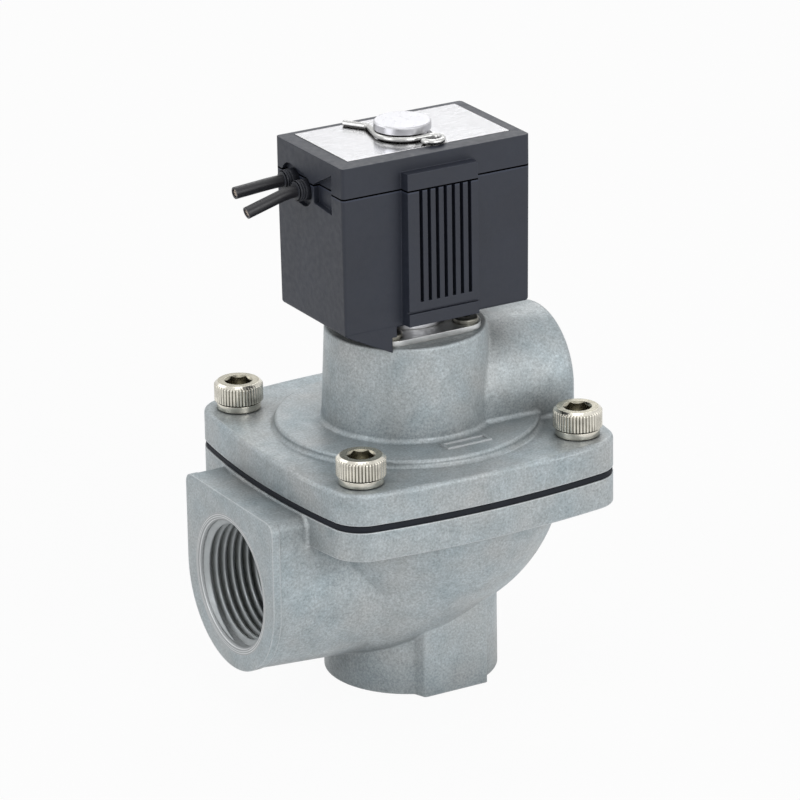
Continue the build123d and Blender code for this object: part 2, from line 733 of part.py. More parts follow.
retainer_places = [(sx * retainer_screw_offset, sy * retainer_screw_offset) for sx in (-1, 1) for sy in (-1, 1)]
for number, place in enumerate(retainer_places):
    with BuildPart() as retainer_screw:
        with BuildSketch(Plane.XY.offset(retainer_top)):
            with Locations(place):
                Circle(retainer_head_radius)
        extrude(amount=retainer_head_height)
        fillet(retainer_screw.faces().sort_by(Axis.Z)[-1].edges(), retainer_head_height / 2)
        with BuildSketch(Plane.XY.offset(retainer_top)):
            with Locations(place):
                Circle(retainer_screw_radius)
        extrude(amount=-(retainer_thickness + retainer_screw_length - retainer_head_height))
        with BuildSketch(Plane.XY.offset(retainer_top + retainer_head_height)):
            with Locations(place):
                RegularPolygon(retainer_key / 2, 6, major_radius=False)
        extrude(amount=-retainer_key_depth, mode=Mode.SUBTRACT)
    save(retainer_screw, "retainer_screw_" + str(number + 1))

# Plunger with its rubber face and return spring
with BuildPart() as plunger:
    with BuildSketch(Plane.XY.offset(plunger_bottom)):
        Circle(tube_bore - slide_clearance)
    extrude(amount=plunger_top - plunger_bottom)
    with BuildSketch(Plane.XY.offset(plunger_bottom)):
        Circle(seal_radius + thread_clearance)
    extrude(amount=seal_thickness - seal_stand_out, mode=Mode.SUBTRACT)
    with BuildSketch(Plane.XY.offset(plunger_top)):
        Circle(spring_bore)
    extrude(amount=-spring_bore_depth, mode=Mode.SUBTRACT)
save(plunger, "plunger")

with BuildPart() as plunger_seal:
    with BuildSketch(Plane.XY.offset(seal_bottom)):
        Circle(seal_radius)
    extrude(amount=seal_thickness)
save(plunger_seal, "plunger_seal")

with BuildPart() as plunger_spring:
    with BuildLine():
        plunger_helix, plunger_start = coil_spring(
            plunger_spring_radius, plunger_spring_wire, plunger_spring_turns, spring_bore_floor, core_bottom
        )
    with BuildSketch(plunger_start):
        Circle(plunger_spring_wire)
    sweep(path=plunger_helix, is_frenet=True)
save(plunger_spring, "plunger_spring")

# Fixed core, welded on top of the tube, with the neck that the clip snaps into
with BuildPart() as fixed_core:
    with BuildSketch(Plane.XY.offset(core_bottom)):
        Circle(tube_bore - thread_clearance)
    extrude(amount=tube_top - core_bottom)
    with BuildSketch(Plane.XY.offset(tube_top)):
        Circle(tube_radius)
    extrude(amount=neck_bottom - tube_top)
    with BuildSketch(Plane.XY.offset(neck_bottom)):
        Circle(neck_radius)
    extrude(amount=neck_top - neck_bottom)
    with BuildSketch(Plane.XY.offset(neck_top)):
        Circle(tube_radius)
    extrude(amount=head_height)
    chamfer(fixed_core.faces().sort_by(Axis.Z)[-1].edges(), head_edge)
    with BuildSketch(Plane.XY.offset(core_bottom)):
        Circle(shading_outer + thread_clearance)
        Circle(shading_inner - thread_clearance, mode=Mode.SUBTRACT)
    extrude(amount=shading_height, mode=Mode.SUBTRACT)
save(fixed_core, "fixed_core")

with BuildPart() as shading_ring:
    with BuildSketch(Plane.XY.offset(core_bottom)):
        Circle(shading_outer)
        Circle(shading_inner, mode=Mode.SUBTRACT)
    extrude(amount=shading_height)
save(shading_ring, "shading_ring")

# Coil inside: steel yoke, bobbin and copper winding
cavity_length = 2 * (coil_half_length - coil_wall)
cavity_width = 2 * (coil_half_width - coil_wall)
cavity_bottom = coil_bottom + coil_wall
yoke_top = plate_bottom
with BuildPart() as coil_yoke:
    with BuildSketch(Plane.XY.offset(cavity_bottom)):
        Rectangle(2 * yoke_half_span + yoke_thickness, 2 * yoke_half_width)
        Circle(coil_bore, mode=Mode.SUBTRACT)
    extrude(amount=yoke_thickness)
    with BuildSketch(Plane.XY.offset(cavity_bottom)):
        with Locations((-yoke_half_span, 0), (yoke_half_span, 0)):
            Rectangle(yoke_thickness, 2 * yoke_half_width)
    extrude(amount=yoke_top - cavity_bottom)
save(coil_yoke, "coil_yoke")

bobbin_bottom = cavity_bottom + yoke_thickness
with BuildPart() as coil_bobbin:
    with BuildSketch(Plane.XY.offset(bobbin_bottom)):
        Circle(coil_bore + bobbin_wall)
    extrude(amount=plate_bottom - bobbin_bottom)
    for level in (bobbin_bottom, plate_bottom - bobbin_flange):
        with BuildSketch(Plane.XY.offset(level)):
            Circle(bobbin_flange_radius)
        extrude(amount=bobbin_flange)
    with BuildSketch(Plane.XY.offset(bobbin_bottom)):
        Circle(coil_bore)
    extrude(amount=plate_bottom - bobbin_bottom, mode=Mode.SUBTRACT)
save(coil_bobbin, "coil_bobbin")

with BuildPart() as coil_winding:
    with BuildSketch(Plane.XY.offset(bobbin_bottom + bobbin_flange + winding_gap)):
        Circle(winding_radius)
        Circle(coil_bore + bobbin_wall + winding_gap, mode=Mode.SUBTRACT)
    extrude(amount=plate_bottom - bobbin_bottom - 2 * bobbin_flange - 2 * winding_gap)
save(coil_winding, "coil_winding")

# Coil outside: shell below the seam, cap above it, and the steel plate in the cap's frame
panel_top = coil_top - panel_top_drop
panel_bottom = coil_bottom + panel_bottom_rise
panel_reach = coil_half_width + panel_stand_out


def panel_profile(side):
    """Plan of the raised panel on one broad face, with slightly leaning sides."""
    Polyline(
        (-panel_half_width, 0),
        (-panel_half_width, side * (coil_half_width - coil_wall / 2)),
        (-panel_half_width + panel_side_lean, side * panel_reach),
        (panel_half_width - panel_side_lean, side * panel_reach),
        (panel_half_width, side * (coil_half_width - coil_wall / 2)),
        (panel_half_width, 0),
        close=True,
    )


def pocket_outline():
    """Angular pocket beside the leads, in the plane of the coil's end."""
    Polyline(
        (pocket_low_y, seam + pocket_rise),
        (pocket_low_y, seam - pocket_bottom_drop),
        (pocket_high_y, seam - pocket_corner_drop),
        (pocket_high_y, seam + pocket_corner_rise),
        close=True,
    )


def lead_recess():
    """Long recess round both grommets, in the plane of the coil's end."""
    with Locations(*lead_points):
        Circle(grommet_radius + lead_recess_margin)
    make_hull()


with BuildPart() as coil_shell:
    with BuildSketch(Plane.XY.offset(seam)):
        RectangleRounded(2 * coil_half_length, 2 * coil_half_width, coil_corner)
    extrude(amount=-seam_height, taper=coil_taper)
    fillet(coil_shell.faces().sort_by(Axis.Z)[0].edges(), coil_bottom_edge)
    for side in (-1, 1):
        with BuildSketch(Plane.XY.offset(panel_bottom)):
            with BuildLine():
                panel_profile(side)
            make_face()
        extrude(amount=seam - panel_bottom)
    # Foot that reaches down past the tower's rim at the front left corner
    with BuildSketch(Plane.XZ.offset(coil_half_width - coil_bottom_edge / 2)):
        with BuildLine():
            Polyline(
                (-coil_half_length + coil_corner, coil_bottom + coil_wall),
                (-coil_half_length + coil_corner, coil_bottom),
                (foot_inner_x, coil_bottom - foot_drop),
                (foot_inner_x, coil_bottom + coil_wall),
                close=True,
            )
        make_face()
    extrude(amount=-foot_depth)
    with BuildSketch(Plane.XY.offset(retainer_top + retainer_head_height + foot_clearance)):
        Circle(tower_top_radius + foot_side_gap)
    extrude(amount=-foot_drop, mode=Mode.SUBTRACT)
    with BuildSketch(Plane.XY.offset(cavity_bottom)):
        Rectangle(cavity_length, cavity_width)
    extrude(amount=seam - cavity_bottom, mode=Mode.SUBTRACT)
    with BuildSketch(Plane.XY.offset(coil_bottom)):
        Circle(coil_bore)
    extrude(amount=coil_wall, mode=Mode.SUBTRACT)
    # Grooves down each panel and the line below them
    for side in (-1, 1):
        groove_shift = (panel_reach - groove_depth / 2) * side
        with BuildSketch(Plane.XY.offset(coil_bottom + groove_bottom_rise)):
            with Locations((groove_centre_x, groove_shift)):
                with GridLocations(groove_pitch, 0, groove_count, 1):
                    Rectangle(groove_width, groove_depth)
        extrude(amount=seam_height - groove_bottom_rise, mode=Mode.SUBTRACT)
        with BuildSketch(Plane.XY.offset(coil_bottom + groove_line_rise)):
            with Locations((0, (panel_reach - groove_line_depth / 2) * side)):
                Rectangle(2 * panel_half_width, groove_line_depth)
        extrude(amount=groove_line_height, mode=Mode.SUBTRACT)
    with BuildSketch(Plane.YZ.offset(-coil_half_length)):
        with BuildLine():
            pocket_outline()
        make_face()
    extrude(amount=pocket_depth, mode=Mode.SUBTRACT)
    with BuildSketch(Plane.YZ.offset(-coil_half_length)):
        lead_recess()
    extrude(amount=lead_recess_depth, mode=Mode.SUBTRACT)
    with BuildSketch(Plane.YZ.offset(-coil_half_length)):
        with Locations(*lead_points):
            Circle(grommet_radius)
    extrude(amount=2 * coil_wall, mode=Mode.SUBTRACT)
save(coil_shell, "coil_shell")

with BuildPart() as coil_cap:
    with BuildSketch(Plane.XY.offset(seam)):
        RectangleRounded(2 * coil_half_length, 2 * coil_half_width, coil_corner)
    extrude(amount=coil_top - seam)
    for side in (-1, 1):
        with BuildSketch(Plane.XY.offset(seam)):
            with BuildLine():
                panel_profile(side)
            make_face()
        extrude(amount=panel_top - seam)
    with BuildSketch(Plane.XY.offset(seam)):
        Rectangle(cavity_length, cavity_width)
    extrude(amount=plate_bottom - seam, mode=Mode.SUBTRACT)
    with BuildSketch(Plane.XY.offset(seam)):
        with Locations(((plate_right - plate_left) / 2, (plate_back - plate_front) / 2)):
            Rectangle(plate_left + plate_right + 2 * slip_gap, plate_front + plate_back + 2 * slip_gap)
    extrude(amount=coil_top - seam, mode=Mode.SUBTRACT)
    with BuildSketch(Plane.YZ.offset(-coil_half_length)):
        with BuildLine():
            pocket_outline()
        make_face()
    extrude(amount=pocket_depth, mode=Mode.SUBTRACT)
    with BuildSketch(Plane.YZ.offset(-coil_half_length)):
        lead_recess()
    extrude(amount=lead_recess_depth, mode=Mode.SUBTRACT)
    with BuildSketch(Plane.YZ.offset(-coil_half_length)):
        with Locations(*lead_points):
            Circle(grommet_radius)
    extrude(amount=2 * coil_wall, mode=Mode.SUBTRACT)
save(coil_cap, "coil_cap")

with BuildPart() as top_plate:
    with BuildSketch(Plane.XY.offset(plate_bottom)):
        with Locations(((plate_right - plate_left) / 2, (plate_back - plate_front) / 2)):
            Rectangle(plate_left + plate_right, plate_front + plate_back)
        Circle(coil_bore, mode=Mode.SUBTRACT)
    extrude(amount=plate_thickness)
save(top_plate, "top_plate")

# Spring wire clip: a leg, an arc round the neck, and an eye at the front
clip_level = plate_top + clip_wire + thread_clearance
clip_ring = neck_radius + clip_wire + thread_clearance
bend_distance = math.hypot(*clip_leg_bend)
bend_angle = math.degrees(math.atan2(clip_leg_bend[1], clip_leg_bend[0]))
tangent_angle = bend_angle + math.degrees(math.acos(clip_ring / bend_distance))
with BuildPart() as retaining_clip:
    with BuildLine(Plane.XY.offset(clip_level)) as clip_path:
        ring_arc = CenterArc((0, 0), clip_ring, tangent_angle, 270 - tangent_angle)
        front_run = Line((0, -clip_ring), (clip_front_run, -clip_ring))
        eye = JernArc(front_run @ 1, (1, 0), clip_eye_radius, -clip_eye_turn)
        leg = FilletPolyline(clip_leg_end, clip_leg_bend, ring_arc @ 0, radius=clip_bend_radius)
    clip_start = Plane(origin=leg @ 0, z_dir=leg % 0)
    with BuildSketch(clip_start):
        Circle(clip_wire)
    sweep(path=clip_path.wire())
save(retaining_clip, "retaining_clip")

# Leads with their grommets, cut off bare
for number, ((lead_y, lead_height), lead_drop) in enumerate(zip(lead_points, lead_drops)):
    with BuildPart() as lead_grommet:
        with BuildSketch(Plane.YZ.offset(-coil_half_length - grommet_stand_out)):
            with Locations((lead_y, lead_height)):
                Circle(grommet_radius - thread_clearance)
                Circle(lead_radius + lead_clearance, mode=Mode.SUBTRACT)
        extrude(amount=grommet_stand_out + coil_wall + grommet_inside)
        outer_rim = lead_grommet.faces().sort_by(Axis.X)[0].edges().sort_by(SortBy.RADIUS)[-1]
        fillet(outer_rim, (grommet_radius - lead_radius) / 2)
    save(lead_grommet, "lead_grommet_" + str(number + 1))

    with BuildPart() as lead_wire:
        with BuildLine(Plane.XZ.offset(-lead_y)) as lead_path:
            start_x = -coil_half_length + lead_start
            bend_x = -coil_half_length - grommet_stand_out - lead_straight
            end_x = -coil_half_length - lead_reach
            half_turn = math.atan2(lead_drop, bend_x - end_x) / 2
            bend_radius = lead_bend_share * min(start_x - bend_x, bend_x - end_x) / math.tan(half_turn)
            FilletPolyline(
                (start_x, lead_height),
                (bend_x, lead_height),
                (end_x, lead_height - lead_drop),
                radius=bend_radius,
            )
        lead_line = lead_path.wire()
        with BuildSketch(Plane(origin=lead_line @ 0, z_dir=lead_line % 0)):
            Circle(lead_radius)
        sweep(path=lead_line)
    print("lead", number + 1, "bend radius", round(bend_radius, 1), "length", round(lead_line.length, 1))
    save(lead_wire, "lead_wire_" + str(number + 1))
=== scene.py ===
import json
import math

import bpy
from mathutils import Matrix, Vector


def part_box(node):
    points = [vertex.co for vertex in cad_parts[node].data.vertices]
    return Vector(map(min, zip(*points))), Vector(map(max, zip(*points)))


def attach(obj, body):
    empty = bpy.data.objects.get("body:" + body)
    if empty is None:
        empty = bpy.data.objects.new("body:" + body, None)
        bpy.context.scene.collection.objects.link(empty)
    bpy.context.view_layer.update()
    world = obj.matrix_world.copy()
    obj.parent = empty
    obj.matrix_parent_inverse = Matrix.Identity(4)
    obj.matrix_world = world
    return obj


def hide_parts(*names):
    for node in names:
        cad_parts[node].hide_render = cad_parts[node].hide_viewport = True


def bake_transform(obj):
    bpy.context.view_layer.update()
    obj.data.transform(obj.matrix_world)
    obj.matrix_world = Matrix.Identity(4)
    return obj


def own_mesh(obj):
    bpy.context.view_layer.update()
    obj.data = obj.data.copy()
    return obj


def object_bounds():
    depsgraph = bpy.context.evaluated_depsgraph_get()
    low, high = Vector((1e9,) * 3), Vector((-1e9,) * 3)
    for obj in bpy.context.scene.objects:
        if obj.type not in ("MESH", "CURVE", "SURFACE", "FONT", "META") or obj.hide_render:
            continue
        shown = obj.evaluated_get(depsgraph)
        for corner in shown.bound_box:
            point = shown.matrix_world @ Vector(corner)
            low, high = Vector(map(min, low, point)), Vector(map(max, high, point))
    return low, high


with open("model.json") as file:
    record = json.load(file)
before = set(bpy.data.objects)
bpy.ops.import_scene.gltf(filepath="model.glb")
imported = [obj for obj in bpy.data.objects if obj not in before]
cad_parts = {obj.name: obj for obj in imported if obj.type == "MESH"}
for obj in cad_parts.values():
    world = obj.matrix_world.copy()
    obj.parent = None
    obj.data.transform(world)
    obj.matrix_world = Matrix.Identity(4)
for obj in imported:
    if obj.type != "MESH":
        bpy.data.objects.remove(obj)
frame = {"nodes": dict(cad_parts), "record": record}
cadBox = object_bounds()
mm = 0.001
sameLevel = 0.001 * mm
mergeWithin = 0.002 * mm
white = (1, 1, 1)
facing = 0.9  # how squarely a face looks one way to be picked
ports = {"inlet": (-41.9, 0, 26.2), "outlet": (0, 0, 0), "exhaust": (32.1, 0, 61.2)}  # centres of the mouths


def startPiece():
    # object mode with nothing selected, so that only the new piece is worked on
    if bpy.context.object and bpy.context.object.mode != "OBJECT":
        bpy.ops.object.mode_set(mode="OBJECT")
    bpy.ops.object.select_all(action="DESELECT")


def onlySelect(piece):
    startPiece()
    piece.select_set(True)
    bpy.context.view_layer.objects.active = piece


def clearPick(kind):
    bpy.ops.object.mode_set(mode="EDIT")
    bpy.ops.mesh.select_mode(type=kind)
    bpy.ops.mesh.select_all(action="DESELECT")
    bpy.ops.object.mode_set(mode="OBJECT")


def pickFaces(piece, test):
    # this and the next two leave the piece in edit mode, with what passes the test selected
    clearPick("FACE")
    for face in piece.data.polygons:
        face.select = test(face.center, face.normal)
    bpy.ops.object.mode_set(mode="EDIT")


def pickEdges(piece, test):
    clearPick("EDGE")
    corners = piece.data.vertices
    for edge in piece.data.edges:
        edge.select = test(*(corners[index].co for index in edge.vertices))
    bpy.ops.object.mode_set(mode="EDIT")


def pickPoints(piece, test):
    clearPick("VERT")
    for corner in piece.data.vertices:
        corner.select = test(corner.co)
    bpy.ops.object.mode_set(mode="EDIT")


def extrudeBy(move):
    bpy.ops.mesh.extrude_region_move(TRANSFORM_OT_translate={"value": move})


def scaleAbout(centre, shares):
    bpy.ops.transform.resize(value=shares, center_override=centre)


def applyAll(piece):
    onlySelect(piece)
    for modifier in list(piece.modifiers):
        bpy.ops.object.modifier_apply(modifier=modifier.name)


def mergeCorners(piece, within):
    onlySelect(piece)
    bpy.ops.object.mode_set(mode="EDIT")
    bpy.ops.mesh.select_all(action="SELECT")
    bpy.ops.mesh.remove_doubles(threshold=within)


def finishPiece(piece, name, material, body, angle=40):
    # place goes into the mesh, normals outwards, smooth below the angle, then it rides its body
    onlySelect(piece)
    bpy.ops.object.transform_apply(location=True, rotation=True, scale=True)
    mergeCorners(piece, mergeWithin)
    bpy.ops.mesh.normals_make_consistent(inside=False)
    bpy.ops.object.mode_set(mode="OBJECT")
    bpy.ops.object.shade_smooth_by_angle(angle=math.radians(angle))
    piece.name = name
    piece.data.name = name
    piece.data.materials.clear()
    piece.data.materials.append(material)
    if body:
        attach(piece, body)
    return piece


def copyNode(node):
    # a CAD node's shape as a new piece, without the node's own marks
    source = frame["nodes"][node]
    piece = source.copy()
    piece.data = source.data.copy()
    piece.parent = None
    for key in list(piece.keys()):
        del piece[key]
    bpy.context.collection.objects.link(piece)
    return piece


def copyPiece(piece, name, shift):
    # a twin with its own mesh, moved within that mesh
    twin = piece.copy()
    twin.data = piece.data.copy()
    bpy.context.collection.objects.link(twin)
    twin.data.transform(Matrix.Translation(shift))
    twin.name = name
    twin.data.name = name
    return twin


def middleOf(node):
    low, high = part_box(node)
    return (low + high) / 2


def feed(tree, socket, value):
    # a pattern is linked to the socket, a plain value is set on it
    if isinstance(value, bpy.types.NodeSocket):
        tree.links.new(value, socket)
    elif socket.type == "RGBA":
        socket.default_value = (*value, 1)
    else:
        socket.default_value = value


def addNode(tree, kind, sockets, **settings):
    node = tree.nodes.new("ShaderNode" + kind)
    for setting, value in settings.items():
        setattr(node, setting, value)
    for socket, value in sockets.items():
        feed(tree, node.inputs[socket], value)
    return node


def mathOn(tree, operation, *values):
    return addNode(tree, "Math", dict(enumerate(values)), operation=operation).outputs["Value"]


def vectorMathOn(tree, operation, result, *values):
    return addNode(tree, "VectorMath", dict(enumerate(values)), operation=operation).outputs[result]


def newMaterial(name, colour, metallic, roughness):
    material = bpy.data.materials.new(name)
    material.use_nodes = True
    tree = material.node_tree
    shader = tree.nodes["Principled BSDF"]
    feed(tree, shader.inputs["Base Color"], colour)
    feed(tree, shader.inputs["Metallic"], metallic)
    feed(tree, shader.inputs["Roughness"], roughness)
    return material, tree, shader


def objectPlace(tree):
    return addNode(tree, "TexCoord", {}).outputs["Object"]


def noiseOn(tree, scale, detail=3.0, roughness=0.55, stretch=None):
    # a noise pattern that sits still on the piece
    place = objectPlace(tree)
    if stretch:
        place = addNode(tree, "Mapping", {"Vector": place, "Scale": stretch}).outputs["Vector"]
    sockets = {"Vector": place, "Scale": scale, "Detail": detail, "Roughness": roughness}
    return addNode(tree, "TexNoise", sockets).outputs["Fac"]


def rampOn(tree, source, *stops):
    ramp = addNode(tree, "ValToRGB", {"Fac": source})
    for element, (place, colour) in zip(ramp.color_ramp.elements, stops):
        element.position = place
        element.color = (*colour, 1)
    return ramp.outputs["Color"]


def mixColours(tree, share, first, second, mode="MIX"):
    sockets = {"Factor": share, "A": first, "B": second}
    return addNode(tree, "Mix", sockets, data_type="RGBA", blend_type=mode).outputs["Result"]


def spread(tree, source, low, high, start=0.3, end=0.7):
    # turns the stretch of a pattern from start to end into low to high
    sockets = {"Value": source, "From Min": start, "From Max": end, "To Min": low, "To Max": high}
    return addNode(tree, "MapRange", sockets).outputs["Result"]


def scaled(colour, share):
    return tuple(share * part for part in colour)


def softEdges(tree, shader, radius, height, depth):
    # rounded edge highlights, with a fine surface relief on top of them
    rounded = addNode(tree, "Bevel", {"Radius": radius}, samples=6).outputs["Normal"]
    bump = addNode(tree, "Bump", {"Strength": 1.0, "Distance": depth, "Height": height, "Normal": rounded})
    feed(tree, shader.inputs["Normal"], bump.outputs["Normal"])
    return rounded


def edgeHighlightMask(tree, rounded, strength):
    # where a highlight is painted: 0 on flat stretches, towards strength along edges and hollow corners
    flat = addNode(tree, "NewGeometry", {}).outputs["Normal"]
    alike = vectorMathOn(tree, "DOT_PRODUCT", "Value", flat, rounded)
    return spread(tree, alike, 0.0, strength, 1.0, 0.9)


def paintHollowShade(tree, colour, shadeColour, reach, look):
    # painted shade: ambient occlusion darkens the colour in hollows and gaps between parts, over a reach
    # given in mm
    hollow = addNode(tree, "AmbientOcclusion", {"Distance": reach * mm}, samples=look["hollowSamples"])
    shade = rampOn(tree, hollow.outputs["AO"], (look["hollowFrom"], shadeColour), (look["hollowTo"], white))
    return mixColours(tree, 1.0, colour, shade, "MULTIPLY")


def lineAt(tree, height, halfWidth):
    # 1 within a thin level line round the piece
    parts = addNode(tree, "SeparateXYZ", {"Vector": objectPlace(tree)})
    return mathOn(tree, "COMPARE", parts.outputs["Z"], height, halfWidth)


# the chamfers of both large ports are turned bright after casting
machinedEnds = {
    "radius": 14.75, "ring": 0.42, "across": {"inlet": (0, 1, 1), "outlet": (1, 1, 0)},
    "dark": (0.40, 0.42, 0.43), "pale": (0.78, 0.80, 0.81),
}


def turnedMouth(tree, port):
    # 1 round the port's mouth, and a wave that rises and falls with each turned ring
    shift = tuple(-value * mm for value in ports[port])
    fromMouth = addNode(tree, "Mapping", {"Vector": objectPlace(tree), "Location": shift}).outputs["Vector"]
    distance = vectorMathOn(tree, "LENGTH", "Value", fromMouth)
    near = mathOn(tree, "LESS_THAN", distance, machinedEnds["radius"] * mm)
    across = vectorMathOn(tree, "MULTIPLY", "Vector", fromMouth, machinedEnds["across"][port])
    radius = vectorMathOn(tree, "LENGTH", "Value", across)
    wave = mathOn(tree, "MULTIPLY", radius, 2 * math.pi / (machinedEnds["ring"] * mm))
    return near, mathOn(tree, "SINE", wave)


casting = {
    "pale": (0.475, 0.54, 0.57), "dark": (0.36, 0.425, 0.455), "warm": (0.51, 0.51, 0.50),
    # edge: the colour of the painted highlight along edges
    "edge": (0.80, 0.84, 0.86), "edgeRadius": 0.45, "edgeStrength": 0.75,
    "blotchScale": 230, "warmScale": 85, "warmMost": 0.62,
    "speckleScale": 2100, "speckleLow": 0.70, "speckleHigh": 1.19,
    "grainScale": 1900, "grainDepth": 0.05,
    "metallic": 0.30, "roughLow": 0.38, "roughHigh": 0.54, "roughScale": 420,
    # hollow: how dark the painted shade in hollows and gaps gets
    "hollow": 0.42, "hollowReach": 14.0, "hollowSamples": 16, "hollowFrom": 0.2, "hollowTo": 0.9,
}


def makeCasting():
    material, tree, shader = newMaterial("castAluminium", casting["pale"], casting["metallic"],
                                         casting["roughHigh"])
    blotches = noiseOn(tree, casting["blotchScale"], 4, 0.65)
    colour = rampOn(tree, blotches, (0.34, casting["dark"]), (0.66, casting["pale"]))
    warmth = spread(tree, noiseOn(tree, casting["warmScale"], 2), 0.0, casting["warmMost"])
    colour = mixColours(tree, warmth, colour, casting["warm"])
    speckle = rampOn(tree, noiseOn(tree, casting["speckleScale"], 3, 0.75),
                     (0.32, scaled(white, casting["speckleLow"])),
                     (0.68, scaled(white, casting["speckleHigh"])))
    colour = mixColours(tree, 1.0, colour, speckle, "MULTIPLY")
    grain = noiseOn(tree, casting["grainScale"], 4, 0.65)
    rounded = softEdges(tree, shader, casting["edgeRadius"] * mm, grain, casting["grainDepth"] * mm)
    # painted highlight: a paler colour along edges and hollow corners
    colour = mixColours(tree, edgeHighlightMask(tree, rounded, casting["edgeStrength"]), colour, casting["edge"])
    for port in machinedEnds["across"]:
        near, wave = turnedMouth(tree, port)
        turned = rampOn(tree, wave, (0.0, machinedEnds["dark"]), (0.9, machinedEnds["pale"]))
        colour = mixColours(tree, near, colour, turned)
    # painted shade: the colour darkens in hollows and gaps between parts
    shadeColour = scaled(white, casting["hollow"])
    colour = paintHollowShade(tree, colour, shadeColour, casting["hollowReach"], casting)
    feed(tree, shader.inputs["Base Color"], colour)
    rough = spread(tree, noiseOn(tree, casting["roughScale"], 3), casting["roughLow"], casting["roughHigh"])
    feed(tree, shader.inputs["Roughness"], rough)
    return material


# worn: how dark the stains are; reach and the shade number: how far the painted shade in hollows reaches and
# how dark it gets
metals = {
    "machinedAluminium": {"colour": (0.46, 0.49, 0.50), "roughness": 0.40, "metallic": 0.4, "hollowShade": 0.6},
    "nickelPlate": {"colour": (0.80, 0.77, 0.68), "roughness": 0.17, "hollowShade": 0.03, "worn": 0.62},
    # a darker copy of the screw's steel: painted shade in its socket and a painted dark reflection on its top
    "shadedScrewSteel": {"colour": (0.38, 0.36, 0.29), "roughness": 0.24, "hollowShade": 0.07, "reach": 2.0},
    "zincPlate": {"colour": (0.72, 0.72, 0.74), "roughness": 0.17, "hollowShade": 0.30, "reach": 0.9,
                  "stretch": (1, 9, 1)},
    "turnedSteel": {"colour": (0.55, 0.55, 0.575), "roughness": 0.30, "scratch": 0.06, "worn": 0.95,
                    "relief": 0.0006},
    "springWire": {"colour": (0.56, 0.56, 0.55), "roughness": 0.24, "hollowShade": 0.12, "reach": 1.4},
    "blackenedSteel": {"colour": (0.20, 0.195, 0.17), "roughness": 0.36},
    "dullSteel": {"colour": (0.64, 0.65, 0.65), "roughness": 0.38, "hollowShade": 0.30, "reach": 2.0},
    "copperRing": {"colour": (0.80, 0.42, 0.26), "roughness": 0.28},
    "tinnedCopper": {"colour": (0.42, 0.36, 0.31), "roughness": 0.35},
}
metalSkin = {
    "stainScale": 300, "lineScale": 900, "edgeRadius": 0.15, "shadeTint": (1, 0.97, 0.88),
    "hollowSamples": 8, "hollowFrom": 0.15, "hollowTo": 0.85,
}


def makeMetal(name, colour, roughness, metallic=1.0, scratch=0.12, stretch=None, worn=0.86, hollowShade=0.35,
              reach=1.0, relief=0.004):
    material, tree, shader = newMaterial(name, colour, metallic, roughness)
    stain = noiseOn(tree, metalSkin["stainScale"], 3, 0.6, stretch)
    shade = rampOn(tree, stain, (0.3, scaled(colour, worn)), (0.7, colour))
    # painted shade: hollows and gaps between parts are darkened in the colour, with a little brown in its
    # tint
    shade = paintHollowShade(tree, shade, scaled(metalSkin["shadeTint"], hollowShade), reach, metalSkin)
    feed(tree, shader.inputs["Base Color"], shade)
    lines = noiseOn(tree, metalSkin["lineScale"], 2, 0.5, stretch)
    rough = spread(tree, lines, roughness * (1 - 2 * scratch), roughness * (1 + 3 * scratch))
    feed(tree, shader.inputs["Roughness"], rough)
    softEdges(tree, shader, metalSkin["edgeRadius"] * mm, lines, relief * mm)
    return material


# seam: height of a parting line, dark with a painted highlight as a pale lip below it
plastics = {
    "coilPlastic": {"colour": (0.0145, 0.0185, 0.031), "roughness": 0.50, "grain": 0.02,
                    "seam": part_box("coil_cap")[0].z},
    "leadSheath": {"colour": (0.016, 0.016, 0.020), "roughness": 0.38, "grain": 0.008},
    "grommetRubber": {"colour": (0.018, 0.020, 0.028), "roughness": 0.50, "grain": 0.015},
}
plasticSkin = {
    "cloudScale": 110, "cloudLow": 0.88, "cloudHigh": 1.10, "grainScale": 2600,
    "edgeRadius": 0.25, "edgeStrength": 0.5, "edgePale": 1.9,
    "roughScale": 700, "roughLow": 0.90, "roughHigh": 1.12,
    "seamHalf": 0.17, "lipDrop": 0.34, "seamColour": (0.001, 0.001, 0.001), "gloss": 0.5,
}


def makePlastic(name, colour, roughness, grain, seam=None):
    material, tree, shader = newMaterial(name, colour, 0.0, roughness)
    cloud = noiseOn(tree, plasticSkin["cloudScale"], 3)
    shade = rampOn(tree, cloud, (0.3, scaled(colour, plasticSkin["cloudLow"])),
                   (0.7, scaled(colour, plasticSkin["cloudHigh"])))
    skin = noiseOn(tree, plasticSkin["grainScale"], 3, 0.6)
    rounded = softEdges(tree, shader, plasticSkin["edgeRadius"] * mm, skin, grain * mm)
    # painted highlight: a paler colour along edges and hollow corners
    pale = scaled(colour, plasticSkin["edgePale"])
    shade = mixColours(tree, edgeHighlightMask(tree, rounded, plasticSkin["edgeStrength"]), shade, pale)
    if seam:
        half = plasticSkin["seamHalf"] * mm
        gap = lineAt(tree, seam, half)
        # painted highlight: a pale lip just under the dark parting line
        shade = mixColours(tree, lineAt(tree, seam - plasticSkin["lipDrop"] * mm, half), shade, pale)
        shade = mixColours(tree, gap, shade, plasticSkin["seamColour"])
        dull = spread(tree, gap, plasticSkin["gloss"], 0.0, 0.0, 1.0)
        feed(tree, shader.inputs["Specular IOR Level"], dull)
    feed(tree, shader.inputs["Base Color"], shade)
    rough = spread(tree, noiseOn(tree, plasticSkin["roughScale"], 2), roughness * plasticSkin["roughLow"],
                   roughness * plasticSkin["roughHigh"])
    feed(tree, shader.inputs["Roughness"], rough)
    return material


